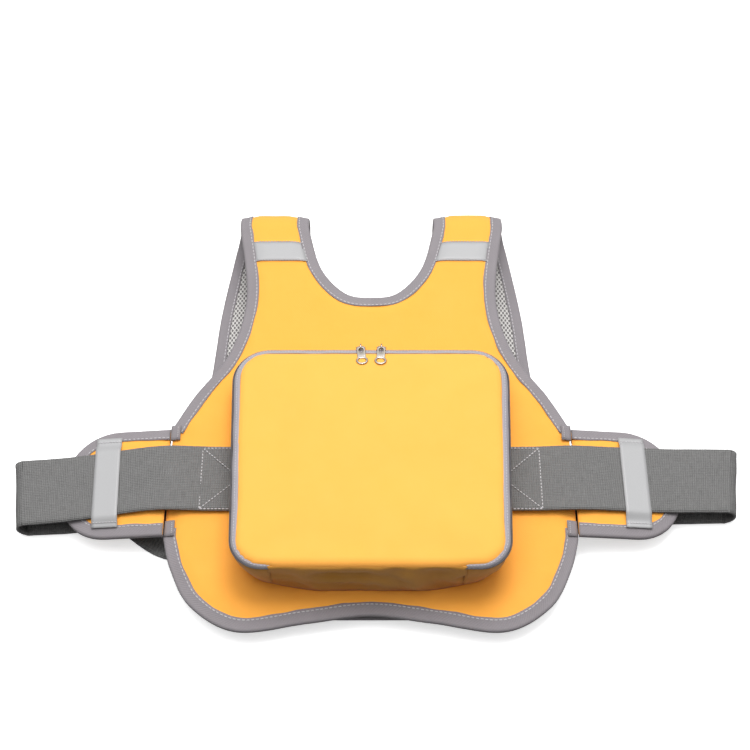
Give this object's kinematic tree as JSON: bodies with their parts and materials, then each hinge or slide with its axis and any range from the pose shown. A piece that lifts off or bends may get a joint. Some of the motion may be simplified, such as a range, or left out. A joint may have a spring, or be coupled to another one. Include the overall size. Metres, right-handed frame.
{
  "type": "inflatable life jacket",
  "caption": "Pull-on sailing life jacket with a zipped front pocket over its bladder and gas inflator, padded side wings and wide elastic waist bands.",
  "frame": {"origin": "centre of the resting footprint, on the surface the jacket lies on", "axes": "+X across the chest toward the right-hand side of the sheet, +Y from hem to neck, +Z out of the front"},
  "size_m": [0.5914, 0.3964, 0.074],
  "materials": {
    "yellow_fabric": "woven polyester, matt",
    "lid_fabric": "smooth coated polyester",
    "binding_tape": "twill tape",
    "foam": "closed-cell foam sheet",
    "mesh_lining": "spacer mesh",
    "elastic": "ribbed woven elastic",
    "reflective_tape": "grey retro-reflective tape",
    "zip_tape": "woven tape with a nylon coil",
    "nickel": "satin nickel plate",
    "bladder_fabric": "urethane-coated nylon",
    "cylinder_steel": "zinc-plated steel",
    "black_plastic": "moulded",
    "red_plastic": "moulded"
  },
  "bodies": {
    "root": {"front_outer_fabric": "yellow_fabric", "front_foam": "foam", "front_mesh_lining": "mesh_lining", "back_outer_fabric": "yellow_fabric", "back_foam": "foam", "back_mesh_lining": "mesh_lining", "neck_binding": "binding_tape", "armhole_binding_left": "binding_tape", "armhole_binding_right": "binding_tape", "side_hem_binding_front": "binding_tape", "side_hem_binding_back": "binding_tape", "shoulder_reflector_left": "reflective_tape", "shoulder_reflector_right": "reflective_tape", "waist_band_front_left": "elastic", "waist_band_back_left": "elastic", "waist_band_front_right": "elastic", "waist_band_back_right": "elastic", "pocket_side_gusset": "yellow_fabric", "zip_tape_wall_side": "zip_tape", "pocket_bottom_gusset": "yellow_fabric", "bladder": "bladder_fabric", "gas_cylinder": "cylinder_steel", "inflator_body": "black_plastic", "oral_tube": "black_plastic"},
    "pocket_lid": {"pocket_lid": "lid_fabric", "zip_tape_lid_side": "zip_tape"},
    "slider_left": {"zip_slider_left": "nickel"},
    "tab_left": {"pull_tab_left": "nickel"},
    "wing_left": {"wing_outer_fabric_left": "yellow_fabric", "wing_foam_left": "foam", "wing_lining_left": "mesh_lining", "wing_binding_left": "binding_tape", "waist_band_loop_left": "elastic", "band_keeper_left": "reflective_tape"},
    "slider_right": {"zip_slider_right": "nickel"},
    "tab_right": {"pull_tab_right": "nickel"},
    "wing_right": {"wing_outer_fabric_right": "yellow_fabric", "wing_foam_right": "foam", "wing_lining_right": "mesh_lining", "wing_binding_right": "binding_tape", "waist_band_loop_right": "elastic", "band_keeper_right": "reflective_tape"},
    "lever": {"inflation_lever": "red_plastic"},
    "cap": {"tube_cap": "red_plastic"}
  },
  "joints": [
    {"name": "lid_hinge", "type": "hinge", "parent": "root", "child": "pocket_lid", "pos_m": [0, -0.169, 0.07], "axis": [1, 0, 0], "range_deg": [0, 150]},
    {"name": "zip_travel_left", "type": "slide", "parent": "pocket_lid", "child": "slider_left", "axis": [-1, 0, 0], "range_m": [0, 0.07]},
    {"name": "tab_swing_left", "type": "hinge", "parent": "slider_left", "child": "tab_left", "pos_m": [-0.008, 0.0318, 0.0663], "axis": [-1, 0, 0], "range_deg": [0, 170]},
    {"name": "wing_fold_left", "type": "hinge", "parent": "root", "child": "wing_left", "pos_m": [-0.1658, -0.0725, 0.0326], "axis": [0, 1, 0], "range_deg": [0, 45]},
    {"name": "zip_travel_right", "type": "slide", "parent": "pocket_lid", "child": "slider_right", "axis": [1, 0, 0], "range_m": [0, 0.07]},
    {"name": "tab_swing_right", "type": "hinge", "parent": "slider_right", "child": "tab_right", "pos_m": [0.008, 0.0318, 0.0663], "axis": [-1, 0, 0], "range_deg": [0, 170]},
    {"name": "wing_fold_right", "type": "hinge", "parent": "root", "child": "wing_right", "pos_m": [0.1658, -0.0725, 0.0326], "axis": [0, -1, 0], "range_deg": [0, 45]},
    {"name": "lever_pull", "type": "hinge", "parent": "root", "child": "lever", "pos_m": [0.055, -0.098, 0.0503], "axis": [1, 0, 0], "range_deg": [0, 90]},
    {"name": "cap_pull", "type": "slide", "parent": "root", "child": "cap", "axis": [1, 0, 0], "range_m": [0, 0.012]}
  ]
}
